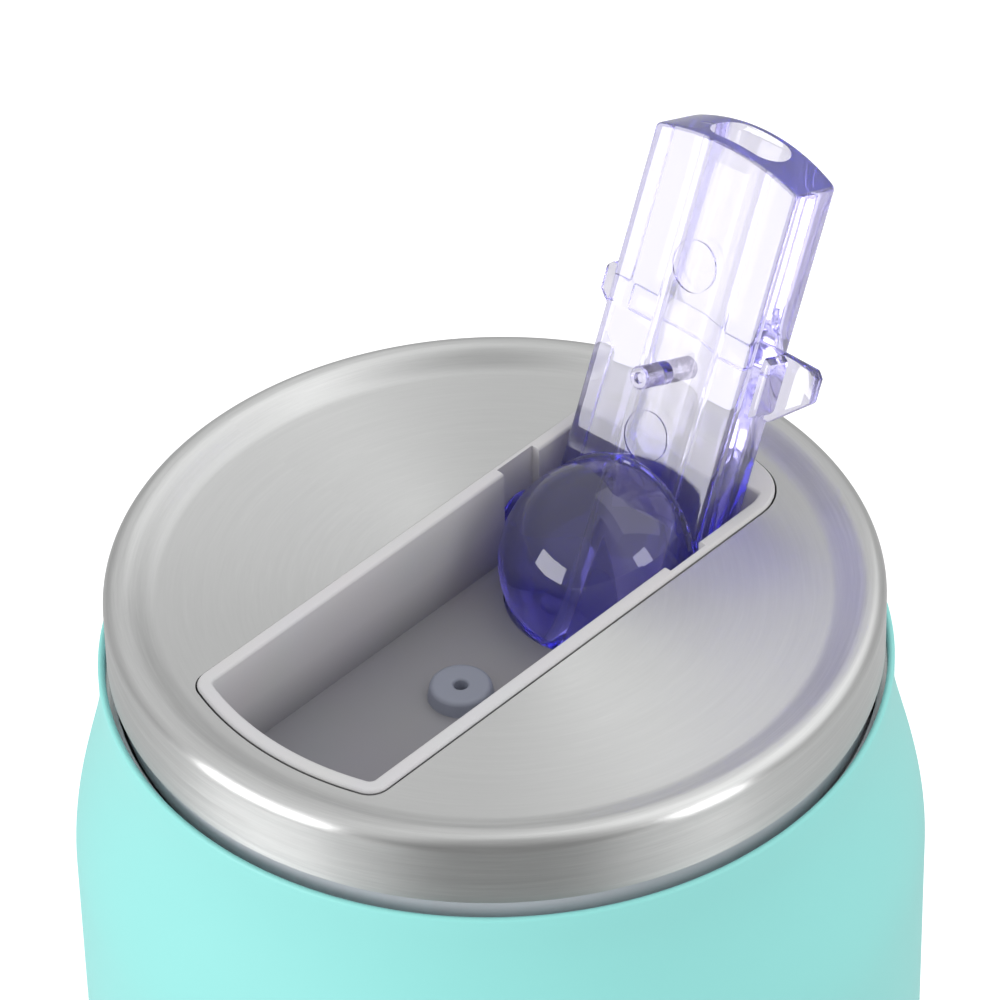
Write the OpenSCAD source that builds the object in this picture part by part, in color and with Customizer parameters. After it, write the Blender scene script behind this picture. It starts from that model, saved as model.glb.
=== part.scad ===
// Vacuum-insulated drinks bottle in the shape of a can, with a screw-in flip-spout lid.
// The base rests on z = 0, the body's axis is Z, and the spout folds towards -Y.
// It is modelled with the lid screwed home and the spout standing open.

/* [Body] */
// Outer radius of the straight body wall
body_r = 36.5; // [34:0.5:40]
// Height of the lid's raised rim above the surface the bottle stands on
rim_z = 180; // [160:1:220]
// Outer radius of the painted shell's top edge
neck_r = 33.5; // [33.3:0.1:33.8]
// Height over which the shoulder curves in from the body to the neck
shoulder_h = 18.5; // [12:0.5:26]
// Sheet thickness of the outer shell
shell_t = 0.6; // [0.5:0.05:0.7]
// Radius of the shell's bottom edge
base_r = 32.8; // [30:0.2:34]
// Height of the rounded base
base_h = 13; // [8:0.5:18]

/* [Liner] */
// Inner radius of the liner round the drink
liner_r = 32.4; // [30:0.1:32.6]
// Sheet thickness of the liner
liner_t = 0.6; // [0.5:0.05:0.7]
// Inner radius of the threaded mouth
mouth_r = 32.3; // [32.2:0.05:32.4]
// Inner radius of the ledge that the lid gasket seals on
ledge_r = 28.5; // [28.4:0.1:28.8]

/* [Thread] */
// Rise of the lid in one turn
thread_lead = 4; // [3.5:0.5:5]
// Radius of the lid thread's root
thread_root_r = 30.4; // [30.2:0.05:30.5]
// Radial height of each thread ridge
thread_depth = 1.4; // [1.2:0.05:1.45]

/* [Lid] */
// Outer radius of the steel lid cover
cover_r = 32.7; // [32.5:0.05:32.9]
// Height of the steel cover's skirt and rim
cover_h = 6.5; // [6:0.1:8]
// Depth of the flat recess inside the raised rim
recess_depth = 1.2; // [0.8:0.1:1.8]
// Radius of the flat recess
recess_r = 28.1; // [27.8:0.1:28.5]
// Sheet thickness of the cover
cover_t = 0.5; // [0.4:0.05:0.6]

/* [Tray] */
// Half the width of the trough that the spout folds into
tray_half_w = 9.1; // [9.1:0.1:9.3]
// Radius of the trough's near end, centred on the lid
tray_end_r = 26.05; // [26:0.05:26.2]
// Width of the raised lip round the trough
lip_w = 1.3; // [1.1:0.1:1.4]
// Height of the lip above the recess
lip_h = 0.35; // [0.3:0.05:0.4]
// Depth of the trough below the lid's skirt edge
tray_floor_drop = 3.9; // [3.5:0.1:4.2]

/* [Spout] */
// How far the open spout leans back past upright, in degrees
open_lean = 23; // [20:1:23]
// Distance of the hinge from the lid's axis
hinge_y = 13.2; // [13:0.1:13.4]
// Drop of the hinge below the lid's skirt edge
hinge_drop = 0.3; // [0.2:0.1:0.4]
// Radius of the spout's valve ball
ball_r = 8.8; // [8.6:0.05:8.8]
// Distance from the hinge to the middle of the tip's front edge
spout_len = 38.5; // [38:0.1:38.5]
// Half the width of the spout's stem
stem_half_w = 7.8; // [7.4:0.1:7.9]
// Distance from the hinge to the stem's front face
stem_front = 1.33; // [1.2:0.01:1.5]
// Distance from the hinge to the stem's back face
stem_back = 6.95; // [6.9:0.01:7]
// Radius of the drinking straw
straw_r = 3.2; // [3:0.1:3.2]

/* [Hidden] */
$fn = 96;
eps = 0.01;

// Heights of the lid's faces
skirt_z = rim_z - cover_h;            // lower edge of the steel skirt
recess_z = rim_z - recess_depth;      // flat recess
lip_z = recess_z + lip_h;             // top of the trough's lip
floor_z = skirt_z - tray_floor_drop;  // trough floor
floor_t = 1.4;
hinge_z = skirt_z - hinge_drop;

// Shell
shell_top_z = skirt_z - 1.1;
shoulder_top_z = skirt_z - 3.5;
shoulder_z = shoulder_top_z - shoulder_h;
shell_bottom_z = 2;
curve_steps = 24;

// Mouth
liner_top_z = shell_top_z - 1.4;
ledge_z = skirt_z - 15.25;
ledge_edge = 0.9;
throat_h = 2.4;
liner_shoulder_z = ledge_z - 12;
liner_floor_z = 9.8;
liner_corner_r = 10;

// Lid core
core_bottom_z = ledge_z - 1.75;
core_plate_t = 2;
core_plate_z = core_bottom_z + core_plate_t;
core_plug_r = ledge_r - 0.3;
gasket_gap = 0.05;
gasket_h = 2.05;
gasket_r = 30.6;
core_shoulder_z = ledge_z + gasket_gap * 2 + gasket_h;
flange_r = 31.95;
flange_z = shell_top_z - 1.8;
core_wall = 1.8;
core_cover_r = cover_r - cover_t;

// Trough
slot_gap = 0.25;
tray_wall = 1;
near_corner_r = 1.5;
far_corner_r = 4;
far_edge_y = 23.5;
pocket_wall = 1.4;
pocket_r = 8.4;
pocket_floor_t = 1.4;
bearing_depth = 0.8;
pin_r = 2.15;
pin_gap = 0.05;

// Valve and vent
seat_gap = 0.08;
port_r = 2.5;
vent_y = hinge_y - 17.6;
vent_bore_r = 1;
vent_top_z = skirt_z - 2.56;
vent_r = 2.85;

// Straw
straw_bore_r = 2.4;
straw_bottom_z = liner_floor_z + 3;
sleeve_r = 4.6;
sleeve_h = 7;

// Stem details, measured up the stem from the hinge
channel_half_w = 3.7;
channel_half_t = 1.7;
tip_arc_r = 20;
tip_tilt = 7.5;
peg_s = 17.6;
peg_r = 1;
peg_len = 3.5;
mark_r = 2.2;
mark_w = 0.2;
mark_depth = 0.12;
wing_x = 11.9;
wing_top_s = 22.3;
wing_low_s = 16;
wing_side_s = 19.5;
wing_t = 0.9;
bar_h = 0.4;

mint = [0.62, 0.90, 0.88];
steel = [0.78, 0.78, 0.77];
pale_grey = [0.84, 0.83, 0.84];
mid_grey = [0.56, 0.56, 0.60];
silicone = [0.80, 0.84, 0.88];
violet = [0.72, 0.70, 0.92, 0.55];

// Smooth step from 0 to 1 with level ends
function ease(t) = (1 - cos(180 * t)) / 2;

// Outside of the painted shell as [radius, height] points, from the base to the top edge
function shell_outline(inset) = concat(
    [for (i = [0:curve_steps / 2])
        let (a = 90 * (1 - 2 * i / curve_steps))
        [base_r + (body_r - base_r - inset) * cos(a),
         shell_bottom_z + base_h - (base_h - inset) * sin(a)]],
    [for (i = [0:curve_steps])
        [body_r - inset - (body_r - neck_r) * ease(i / curve_steps),
         shoulder_z + shoulder_h * i / curve_steps]],
    [[neck_r - inset, shell_top_z - shell_t / 2]]
);

function reversed(points) = [for (i = [len(points) - 1:-1:0]) points[i]];

// Painted outer wall with its rolled top edge
module outer_shell() {
    color(mint) {
        rotate_extrude() {
            polygon(concat(shell_outline(0), reversed(shell_outline(shell_t))));
            translate([neck_r - shell_t / 2, shell_top_z - shell_t / 2]) circle(r = shell_t / 2);
        }
    }
}

// Ring of rectangular section between two radii and two heights
module ring(inner_r, outer_r, low_z, high_z) {
    rotate_extrude() {
        translate([inner_r, low_z]) square([outer_r - inner_r, high_z - low_z]);
    }
}

plate_t = 0.8;
plate_r = base_r;
dish_r = 22.8;
dish_z = 5;
seal_r = 1.2;

// Dished outer bottom, welded inside the shell's lower edge
module base_plate() {
    color(mint) {
        ring(dish_r - plate_t, plate_r, shell_bottom_z, shell_bottom_z + plate_t);
        ring(plate_r - plate_t, plate_r, shell_bottom_z, shell_bottom_z + 2.4);
        ring(dish_r - plate_t, dish_r, shell_bottom_z, dish_z + plate_t);
        ring(seal_r, dish_r, dish_z, dish_z + plate_t);
    }
}

cover_disc_r = dish_r - plate_t - 0.1;
cover_disc_z = 2.3;

// Disc that hides the vacuum seal
module base_cover() {
    color(steel) {
        ring(0, cover_disc_r, cover_disc_z, cover_disc_z + 0.6);
        ring(cover_disc_r - 1, cover_disc_r, cover_disc_z, dish_z);
    }
}

// Bead of solder glass in the evacuation hole
module vacuum_seal() {
    color(mid_grey) {
        translate([0, 0, dish_z - 1]) cylinder(r1 = 1.6, r2 = 2.6, h = 1);
        translate([0, 0, dish_z - eps]) cylinder(r = seal_r, h = plate_t + eps);
    }
}

// Getter pill that keeps the vacuum clean
module getter() {
    color(mid_grey) translate([14, 0, dish_z + plate_t]) cylinder(r = 3, h = 1);
}

foot_in_r = 24;
foot_out_r = 30.8;
foot_round = 0.5;

// Soft ring that the bottle stands on
module foot_pad() {
    color(silicone) {
        rotate_extrude() {
            translate([foot_in_r, foot_round])
                square([foot_out_r - foot_in_r, shell_bottom_z - foot_round]);
            translate([foot_in_r + foot_round, 0])
                square([foot_out_r - foot_in_r - 2 * foot_round, foot_round + eps]);
            for (r = [foot_in_r + foot_round, foot_out_r - foot_round])
                translate([r, foot_round]) circle(r = foot_round);
        }
    }
}

// Inside of the liner, from the top of the mouth down to the middle of the floor
function liner_outline(grow) = concat(
    [[mouth_r + grow, liner_top_z],
     [mouth_r + grow, ledge_z + ledge_edge - grow * 0.5],
     [mouth_r - ledge_edge + grow * 0.5, ledge_z - grow],
     [ledge_r + grow, ledge_z - grow],
     [ledge_r + grow, ledge_z - throat_h],
     [liner_r + grow, liner_shoulder_z]],
    [for (i = [0:curve_steps / 2])
        let (a = 180 * i / curve_steps)
        [liner_r - liner_corner_r + (liner_corner_r + grow) * cos(a),
         liner_floor_z + liner_corner_r - (liner_corner_r + grow) * sin(a)]],
    [[0, liner_floor_z - grow]]
);

// One helical ridge. Its sections fade in and out over the first and last few degrees.
// foot_r is the buried edge, wall_r the wall that it stands on and crest_r its top.
ridge_step = 10;
ridge_fade = 30;
ridge_foot_half = 1;
ridge_crest_half = 0.5;
module ridge(foot_r, wall_r, crest_r, mid_z, from_a, to_a) {
    count = floor((to_a - from_a) / ridge_step);
    rings = [for (i = [0:count])
        let (
            a = from_a + i * ridge_step,
            fade = min(1, (a - from_a) / ridge_fade, (to_a - a) / ridge_fade),
            top = wall_r + (crest_r - wall_r) * max(0.05, fade),
            z = mid_z + thread_lead * a / 360
        )
        [[foot_r, z - ridge_foot_half], [top, z - ridge_crest_half],
         [top, z + ridge_crest_half], [foot_r, z + ridge_foot_half]]
    ];
    points = [for (i = [0:count], p = rings[i])
        let (a = from_a + i * ridge_step)
        [p[0] * cos(a), p[0] * sin(a), p[1]]
    ];
    outward = crest_r > foot_r;
    sides = [for (i = [0:count - 1], k = [0:3])
        let (n = (k + 1) % 4, a = i * 4)
        outward ? [a + k, a + n, a + 4 + n, a + 4 + k] : [a + k, a + 4 + k, a + 4 + n, a + n]
    ];
    last = count * 4;
    ends = outward
        ? [[3, 2, 1, 0], [last, last + 1, last + 2, last + 3]]
        : [[0, 1, 2, 3], [last + 3, last + 2, last + 1, last]];
    polyhedron(points = points, faces = concat(sides, ends), convexity = 6);
}

thread_z = skirt_z - 11;
crest_out = thread_root_r + thread_depth;
crest_in = mouth_r - thread_depth;

// Inner steel cup with the rolled thread in its mouth
module inner_liner() {
    color(steel) {
        rotate_extrude() polygon(concat(liner_outline(0), reversed(liner_outline(liner_t))));
        ridge(mouth_r + 0.3, mouth_r, crest_in, thread_z + thread_lead / 2, -270, 360);
    }
}

// Reflecting foil round the liner, inside the vacuum
module heat_foil() {
    color("peru") ring(liner_r + liner_t, liner_r + liner_t + 0.15, 24, liner_shoulder_z - 4);
}

// Ring that seals the lid on the liner's ledge
module lid_gasket() {
    color(silicone) {
        ring(core_plug_r + gasket_gap, gasket_r, ledge_z + gasket_gap,
             ledge_z + gasket_gap + gasket_h);
    }
}

// Moulded body of the lid: plug, thread, flange and the wall that carries the cover
module lid_core() {
    color(mid_grey) {
        difference() {
            union() {
                rotate_extrude() {
                    polygon([
                        [0, core_bottom_z], [core_plug_r, core_bottom_z],
                        [core_plug_r, core_shoulder_z], [thread_root_r, core_shoulder_z],
                        [thread_root_r, flange_z - 0.8], [flange_r, flange_z],
                        [flange_r, skirt_z], [core_cover_r, skirt_z],
                        [core_cover_r, recess_z - cover_t], [core_cover_r - 1.6, recess_z - cover_t],
                        [core_cover_r - 1.6, flange_z + 0.6],
                        [thread_root_r - core_wall, flange_z - 0.8],
                        [thread_root_r - core_wall, core_shoulder_z + core_wall],
                        [core_plug_r - core_wall, core_shoulder_z - 0.4],
                        [core_plug_r - core_wall, core_plate_z], [0, core_plate_z]
                    ]);
                }
                translate([0, vent_y, core_plate_z])
                    cylinder(r = 2.6, h = floor_z - floor_t - core_plate_z);
            }
            translate([0, hinge_y, core_bottom_z - 1]) cylinder(r = port_r, h = core_plate_t + 2);
            translate([0, vent_y, core_bottom_z - 1])
                cylinder(r = vent_bore_r, h = floor_z - core_bottom_z + 1);
        }
        ridge(thread_root_r - 0.2, thread_root_r, crest_out, thread_z, -60, 430);
    }
}

// Plan of the trough or of the hole it passes through: straight sides, round ends
module slot_plan(half_w, end_r) {
    for (far = [0, 1]) {
        corner = far == 1 ? far_corner_r : near_corner_r;
        intersection() {
            translate([-half_w - 1, far == 1 ? 0 : -end_r - 1]) square([2 * half_w + 2, end_r + 1]);
            offset(r = corner) offset(delta = -corner) intersection() {
                circle(r = end_r);
                square([2 * half_w, 2 * end_r], center = true);
            }
        }
    }
}

rim_round = 1.2;
rim_flat_w = 0.3;
rim_top_r = cover_r - rim_round;

// Upper face of the cover, from the skirt's lower edge in to the flat recess
function cover_outline(t) = concat(
    [[cover_r - t, skirt_z]],
    [for (i = [0:8])
        let (a = 90 * i / 8)
        [rim_top_r + (rim_round - t) * cos(a), rim_z - rim_round + (rim_round - t) * sin(a)]],
    [for (i = [0:12])
        [rim_top_r - rim_flat_w - (rim_top_r - rim_flat_w - recess_r) * i / 12,
         rim_z - t - recess_depth * ease(i / 12)]],
    [[0, recess_z - t]]
);

// Pressed steel cover with a raised round rim and a slot for the trough
module lid_cover() {
    color(steel) {
        difference() {
            rotate_extrude() polygon(concat(cover_outline(0), reversed(cover_outline(cover_t))));
            translate([0, 0, recess_z - 2]) linear_extrude(height = 4)
                slot_plan(tray_half_w + lip_w - slot_gap, tray_end_r + lip_w);
        }
    }
}

// Hollow of the trough: the open top is shorter at the hinge end than the space below it
module trough_hollow() {
    translate([0, 0, floor_z]) linear_extrude(height = lip_z - floor_z + 1)
        intersection() {
            slot_plan(tray_half_w, tray_end_r);
            translate([-20, -40]) square([40, 40 + far_edge_y]);
        }
}

// Round pocket below the trough floor, where the ball turns on its seat
module ball_pocket(r, low_z, high_z) {
    translate([0, hinge_y, low_z]) cylinder(r = r, h = high_z - low_z);
}

bearing_half_y = 4.5;
bearing_out = 11.4;

// Trough with its lip, ball pocket and the open-topped grooves that carry the spout's pins
module spout_tray() {
    color(pale_grey) {
        difference() {
            union() {
                translate([0, 0, recess_z]) linear_extrude(height = lip_h)
                    slot_plan(tray_half_w + lip_w, tray_end_r + lip_w + 0.25);
                translate([0, 0, floor_z - floor_t])
                    linear_extrude(height = recess_z - floor_z + floor_t)
                    slot_plan(tray_half_w + tray_wall, tray_end_r + tray_wall);
                ball_pocket(pocket_r + pocket_wall, core_plate_z, floor_z);
                translate([-bearing_out, hinge_y - bearing_half_y, floor_z - floor_t])
                    cube([2 * bearing_out, 2 * bearing_half_y,
                          recess_z - cover_t - 0.1 - floor_z + floor_t]);
            }
            trough_hollow();
            ball_pocket(pocket_r, core_plate_z + pocket_floor_t, floor_z + 1);
            translate([0, hinge_y, core_plate_z - 1]) cylinder(r = port_r, h = pocket_floor_t + 2);
            for (side = [-1, 1]) {
                hull() {
                    for (dz = [0, 20])
                        translate([side * (tray_half_w + bearing_depth / 2), hinge_y, hinge_z + dz])
                            rotate([0, 90, 0])
                            cylinder(r = pin_r + pin_gap, h = bearing_depth, center = true);
                }
            }
            translate([0, vent_y, floor_z - floor_t - 1]) cylinder(r = 1.6, h = floor_t + 2);
        }
    }
}

// Two blocks of foam that fill the lid on either side of the trough
module foam_insert() {
    color("whitesmoke") {
        for (side = [-1, 1]) {
            intersection() {
                translate([0, 0, core_shoulder_z + core_wall])
                    cylinder(r = thread_root_r - core_wall,
                             h = recess_z - cover_t - 0.3 - core_shoulder_z - core_wall);
                translate([side * (bearing_out + 0.4 + 15), 0, rim_z / 2])
                    cube([30, 60, 2 * rim_z], center = true);
            }
        }
    }
}

seat_top_z = hinge_z - 5.2;

// Soft seat under the ball, with the port that the straw feeds
module seat_seal() {
    color(silicone) {
        difference() {
            translate([0, hinge_y, core_plate_z + pocket_floor_t])
                cylinder(r = pocket_r - 0.05, h = seat_top_z - core_plate_z - pocket_floor_t);
            translate([0, hinge_y, hinge_z]) sphere(r = ball_r + seat_gap);
            translate([0, hinge_y, core_plate_z]) cylinder(r = port_r, h = 20);
        }
    }
}

// Soft grommet in the trough floor, shut by the spout's peg
module vent_plug() {
    color(silicone) {
        translate([0, vent_y, 0]) {
            difference() {
                union() {
                    translate([0, 0, floor_z])
                        cylinder(r1 = vent_r, r2 = vent_r - 0.35, h = vent_top_z - floor_z);
                    translate([0, 0, floor_z - floor_t])
                        cylinder(r = 1.6, h = floor_t + eps);
                }
                translate([0, 0, floor_z - floor_t - 1]) cylinder(r = 0.6, h = floor_t + 4);
            }
        }
    }
}

// Small one-way valve under the lid, on the vent
module vent_valve() {
    color(silicone) {
        translate([0, vent_y, core_bottom_z - 3.2]) {
            difference() {
                union() {
                    cylinder(r1 = 1.2, r2 = 2, h = 2);
                    translate([0, 0, 2]) cylinder(r = 3, h = 1.2);
                }
                translate([0, 0, 0.6]) cylinder(r = 0.8, h = 4);
            }
        }
    }
}

// Sleeve under the lid that grips the straw
module straw_sleeve() {
    color(silicone) {
        translate([0, hinge_y, core_bottom_z - sleeve_h]) {
            difference() {
                cylinder(r = sleeve_r, h = sleeve_h);
                translate([0, 0, -1]) cylinder(r = straw_r, h = sleeve_h + 2);
            }
        }
    }
}

// Straw, cut at a slant so that it can't seal on the floor
module straw() {
    color("ghostwhite") {
        difference() {
            translate([0, hinge_y, straw_bottom_z])
                cylinder(r = straw_r, h = core_bottom_z - 0.1 - straw_bottom_z);
            translate([0, hinge_y, straw_bottom_z - 1]) cylinder(r = straw_bore_r, h = rim_z);
            translate([0, hinge_y, straw_bottom_z]) rotate([30, 0, 0])
                translate([0, 0, -10]) cube([20, 20, 20], center = true);
        }
    }
}

// Block with the stem's section between two distances from the hinge
module stem_block(low, high) {
    translate([-stem_half_w, stem_front, low])
        cube([2 * stem_half_w, stem_back - stem_front, high - low]);
}

// Stem whose end is a shallow arc that rises towards its back
module stem() {
    stem_block(0, spout_len * 0.75);
    intersection() {
        stem_block(spout_len * 0.6, spout_len + 2);
        translate([0, stem_front, spout_len - tip_arc_r / cos(tip_tilt)])
            rotate([tip_tilt - 90, 0, 0]) translate([0, 0, -10])
            cylinder(r = tip_arc_r, h = 30);
    }
}

// Finger tab on one side, flush with the back of the stem
module wing(side) {
    scale([side, 1, 1]) {
        translate([0, stem_back, 0]) rotate([90, 0, 0]) linear_extrude(height = wing_t)
            polygon([
                [stem_half_w - 1, wing_top_s], [wing_x - 0.6, wing_top_s],
                [wing_x, wing_top_s - 0.6], [wing_x, wing_side_s],
                [stem_half_w + 0.4, wing_low_s], [stem_half_w - 1, wing_low_s]
            ]);
        translate([0, stem_back, 0]) rotate([90, 0, 0]) linear_extrude(height = 3.4)
            polygon([
                [stem_half_w - 1, wing_top_s], [stem_half_w + 0.8, wing_top_s],
                [stem_half_w + 0.8, wing_low_s + 0.6], [stem_half_w - 1, wing_low_s]
            ]);
    }
}

// Clear mouthpiece: stem, ball, pins, peg and finger tabs, drawn upright about its hinge
module spout_upright() {
    difference() {
        union() {
            stem();
            intersection() {
                sphere(r = ball_r);
                translate([0, stem_back - 20, 0]) cube([40, 40, 40], center = true);
            }
            rotate([0, 90, 0])
                cylinder(r = pin_r, h = 2 * (tray_half_w + bearing_depth - 0.1), center = true);
            translate([0, stem_front + 0.5, peg_s]) rotate([90, 0, 0])
                cylinder(r = peg_r, h = peg_len + 0.5);
            for (side = [-1, 1]) wing(side);
            translate([-stem_half_w, stem_back - 0.5, wing_top_s - 2.8])
                cube([2 * stem_half_w, 0.5 + bar_h, 2.8]);
        }
        // water channel down the stem and out of the ball, over the seat's port
        translate([0, (stem_front + stem_back) / 2, -ball_r - 1]) {
            for (side = [-1, 1])
                translate([side * (channel_half_w - channel_half_t), 0, 0])
                    cylinder(r = channel_half_t, h = ball_r + spout_len + 5);
            translate([channel_half_t - channel_half_w, -channel_half_t, 0])
                cube([2 * (channel_half_w - channel_half_t), 2 * channel_half_t,
                      ball_r + spout_len + 5]);
        }
        // round ejector marks on the front face
        for (s = [11.6, 27.5]) {
            translate([0, stem_front + mark_depth, s]) rotate([90, 0, 0]) difference() {
                cylinder(r = mark_r, h = 1);
                translate([0, 0, -1]) cylinder(r = mark_r - mark_w, h = 3);
            }
        }
    }
}

module spout() {
    color(violet) translate([0, hinge_y, hinge_z]) rotate([-open_lean, 0, 0]) spout_upright();
}

outer_shell();
base_plate();
base_cover();
vacuum_seal();
getter();
foot_pad();
inner_liner();
heat_foil();
lid_gasket();
lid_core();
lid_cover();
spout_tray();
foam_insert();
seat_seal();
vent_plug();
vent_valve();
straw_sleeve();
straw();
spout();
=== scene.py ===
"""Looks of the insulated bottle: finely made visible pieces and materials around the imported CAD."""
import math

import bmesh
import bpy
from mathutils import Matrix, Vector


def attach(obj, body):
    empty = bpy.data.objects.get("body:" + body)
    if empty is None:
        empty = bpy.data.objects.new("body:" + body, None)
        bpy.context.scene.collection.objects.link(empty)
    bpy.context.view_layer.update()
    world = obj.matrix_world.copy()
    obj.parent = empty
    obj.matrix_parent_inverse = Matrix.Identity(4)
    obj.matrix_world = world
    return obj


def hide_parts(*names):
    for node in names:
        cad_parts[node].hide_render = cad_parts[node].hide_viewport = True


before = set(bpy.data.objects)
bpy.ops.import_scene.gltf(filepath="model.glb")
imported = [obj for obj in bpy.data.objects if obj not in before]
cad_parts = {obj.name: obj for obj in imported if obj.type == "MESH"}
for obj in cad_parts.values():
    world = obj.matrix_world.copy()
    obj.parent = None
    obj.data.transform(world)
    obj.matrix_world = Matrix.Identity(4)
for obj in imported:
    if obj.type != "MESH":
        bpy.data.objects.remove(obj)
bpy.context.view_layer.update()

MM = 0.001
AROUND = 256  # points round a large turned piece

# Heights and sizes in millimetres, as in the CAD.
# Lid: lower edge of the skirt, top of the rim, flat face, and the radii of rim and flat face
SKIRT_Z = 173.5
RIM_Z = 180.0
RECESS_Z = 178.8
COVER_R = 32.7
RECESS_R = 28.1
# Trough: top of its lip, floor, half width, radius of its round ends, width of the lip,
# distance of its far edge, rounding of its near and far corners, thickness of its floor
LIP_Z = 179.15
FLOOR_Z = 169.6
TRAY_HALF_W = 9.1
TRAY_END_R = 26.05
LIP_W = 1.3
FAR_EDGE_Y = 23.5
NEAR_CORNER_R = 1.9
FAR_CORNER_R = 4.6
TRAY_FLOOR_T = 1.4
# Hinge, vent and the angle that the open spout leans back
HINGE_Y = 13.2
HINGE_Z = 173.2
VENT_Y = -4.4
LEAN = math.radians(23)
# Spout: ball, pins, and the stem's front, back and half width from the hinge
BALL_R = 8.8
PIN_R = 2.15
PIN_REACH = 9.8
STEM_FRONT = 1.33
STEM_BACK = 6.95
STEM_HALF_W = 7.8
# Height of the end face above the hinge at the middle of its front and back, and its radii
TIP_FRONT = 38.5
TIP_FRONT_R = 25.9
TIP_BACK = 39.2
TIP_BACK_R = 18.2
# Compass direction of the studio's unlit side, and the middle of what is lit, in metres
DARK_SIDE = math.radians(45)
LIGHT_TARGET = Vector((0, 0, 0.17))


# ---------------------------------------------------------------- mesh helpers
def link_mesh(name, verts, faces, smooth=True):
    """A new object from points in millimetres."""
    mesh = bpy.data.meshes.new(name)
    mesh.from_pydata([tuple(c * MM for c in v) for v in verts], [], faces)
    mesh.validate()
    bm = bmesh.new()
    bm.from_mesh(mesh)
    bmesh.ops.remove_doubles(bm, verts=bm.verts, dist=1e-7)
    bmesh.ops.recalc_face_normals(bm, faces=bm.faces)
    bm.to_mesh(mesh)
    bm.free()
    obj = bpy.data.objects.new(name, mesh)
    bpy.context.scene.collection.objects.link(obj)
    if smooth:
        shade(obj)
    return obj


def shade(obj, angle=32):
    """Smooth shading with hard edges where faces meet at more than the angle."""
    mesh = obj.data
    for p in mesh.polygons:
        p.use_smooth = True
    bm = bmesh.new()
    bm.from_mesh(mesh)
    limit = math.radians(angle)
    for e in bm.edges:
        e.smooth = len(e.link_faces) != 2 or e.calc_face_angle(0) < limit
    bm.to_mesh(mesh)
    bm.free()


def rings_mesh(name, rings, smooth=True):
    """A solid through rings of points that all have the same count, closed at both ends."""
    n = len(rings[0])
    verts = [p for ring in rings for p in ring]
    faces = []
    for i in range(len(rings) - 1):
        for k in range(n):
            a = i * n + k
            b = i * n + (k + 1) % n
            faces.append((a, b, b + n, a + n))
    faces.append(tuple(range(n))[::-1])
    faces.append(tuple(range((len(rings) - 1) * n, len(rings) * n)))
    return link_mesh(name, verts, faces, smooth)


def lathe(name, profile, centre=(0, 0), around=AROUND, closed=True):
    """Turns (radius, height) points about a vertical axis. A closed profile makes a ring."""
    verts = []
    faces = []
    n = len(profile)
    for k in range(around):
        a = 2 * math.pi * k / around
        for r, z in profile:
            verts.append((centre[0] + r * math.cos(a), centre[1] + r * math.sin(a), z))
    last = n if closed else n - 1
    for k in range(around):
        for i in range(last):
            j = (i + 1) % n
            a = k * n
            b = (k + 1) % around * n
            faces.append((a + i, a + j, b + j, b + i))
    return link_mesh(name, verts, faces)


def arc(cx, cy, r, start, end, steps):
    """Points on an arc, with angles in degrees."""
    out = []
    for i in range(steps + 1):
        a = math.radians(start + (end - start) * i / steps)
        out.append((cx + r * math.cos(a), cy + r * math.sin(a)))
    return out


def boolean(obj, tool, operation):
    """Adds, cuts or keeps what is common, and removes the tool."""
    mod = obj.modifiers.new("boolean", "BOOLEAN")
    mod.operation = operation
    mod.solver = "EXACT"
    mod.object = tool
    apply_modifiers(obj)
    bpy.data.objects.remove(tool)


def apply_modifiers(obj):
    """Turns an object's modifiers into its mesh."""
    graph = bpy.context.evaluated_depsgraph_get()
    mesh = bpy.data.meshes.new_from_object(obj.evaluated_get(graph))
    obj.modifiers.clear()
    old = obj.data
    obj.data = mesh
    bpy.data.meshes.remove(old)


def bevel(obj, width):
    """Softens the edges that are sharper than 30 degrees."""
    mod = obj.modifiers.new("bevel", "BEVEL")
    mod.width = width * MM
    mod.segments = 2
    mod.limit_method = "ANGLE"
    mod.angle_limit = math.radians(30)
    mod.harden_normals = False
    apply_modifiers(obj)


def prism(name, outline, low, high):
    """A solid between two heights on an outline of (x, y) points."""
    return rings_mesh(name, [[(x, y, z) for x, y in outline] for z in (low, high)], smooth=False)


def cylinder(name, y, r, low, high, around=64):
    """An upright cylinder between two heights, on the middle plane of the bottle."""
    return prism(name, arc(0, y, r, 0, 360 - 360 / around, around - 1), low, high)


def finish_piece(obj, body, material, node):
    """Gives a piece its material and its body, and hides the CAD node that it stands for."""
    obj.data.materials.clear()
    obj.data.materials.append(material)
    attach(obj, body)
    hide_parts(node)


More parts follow.
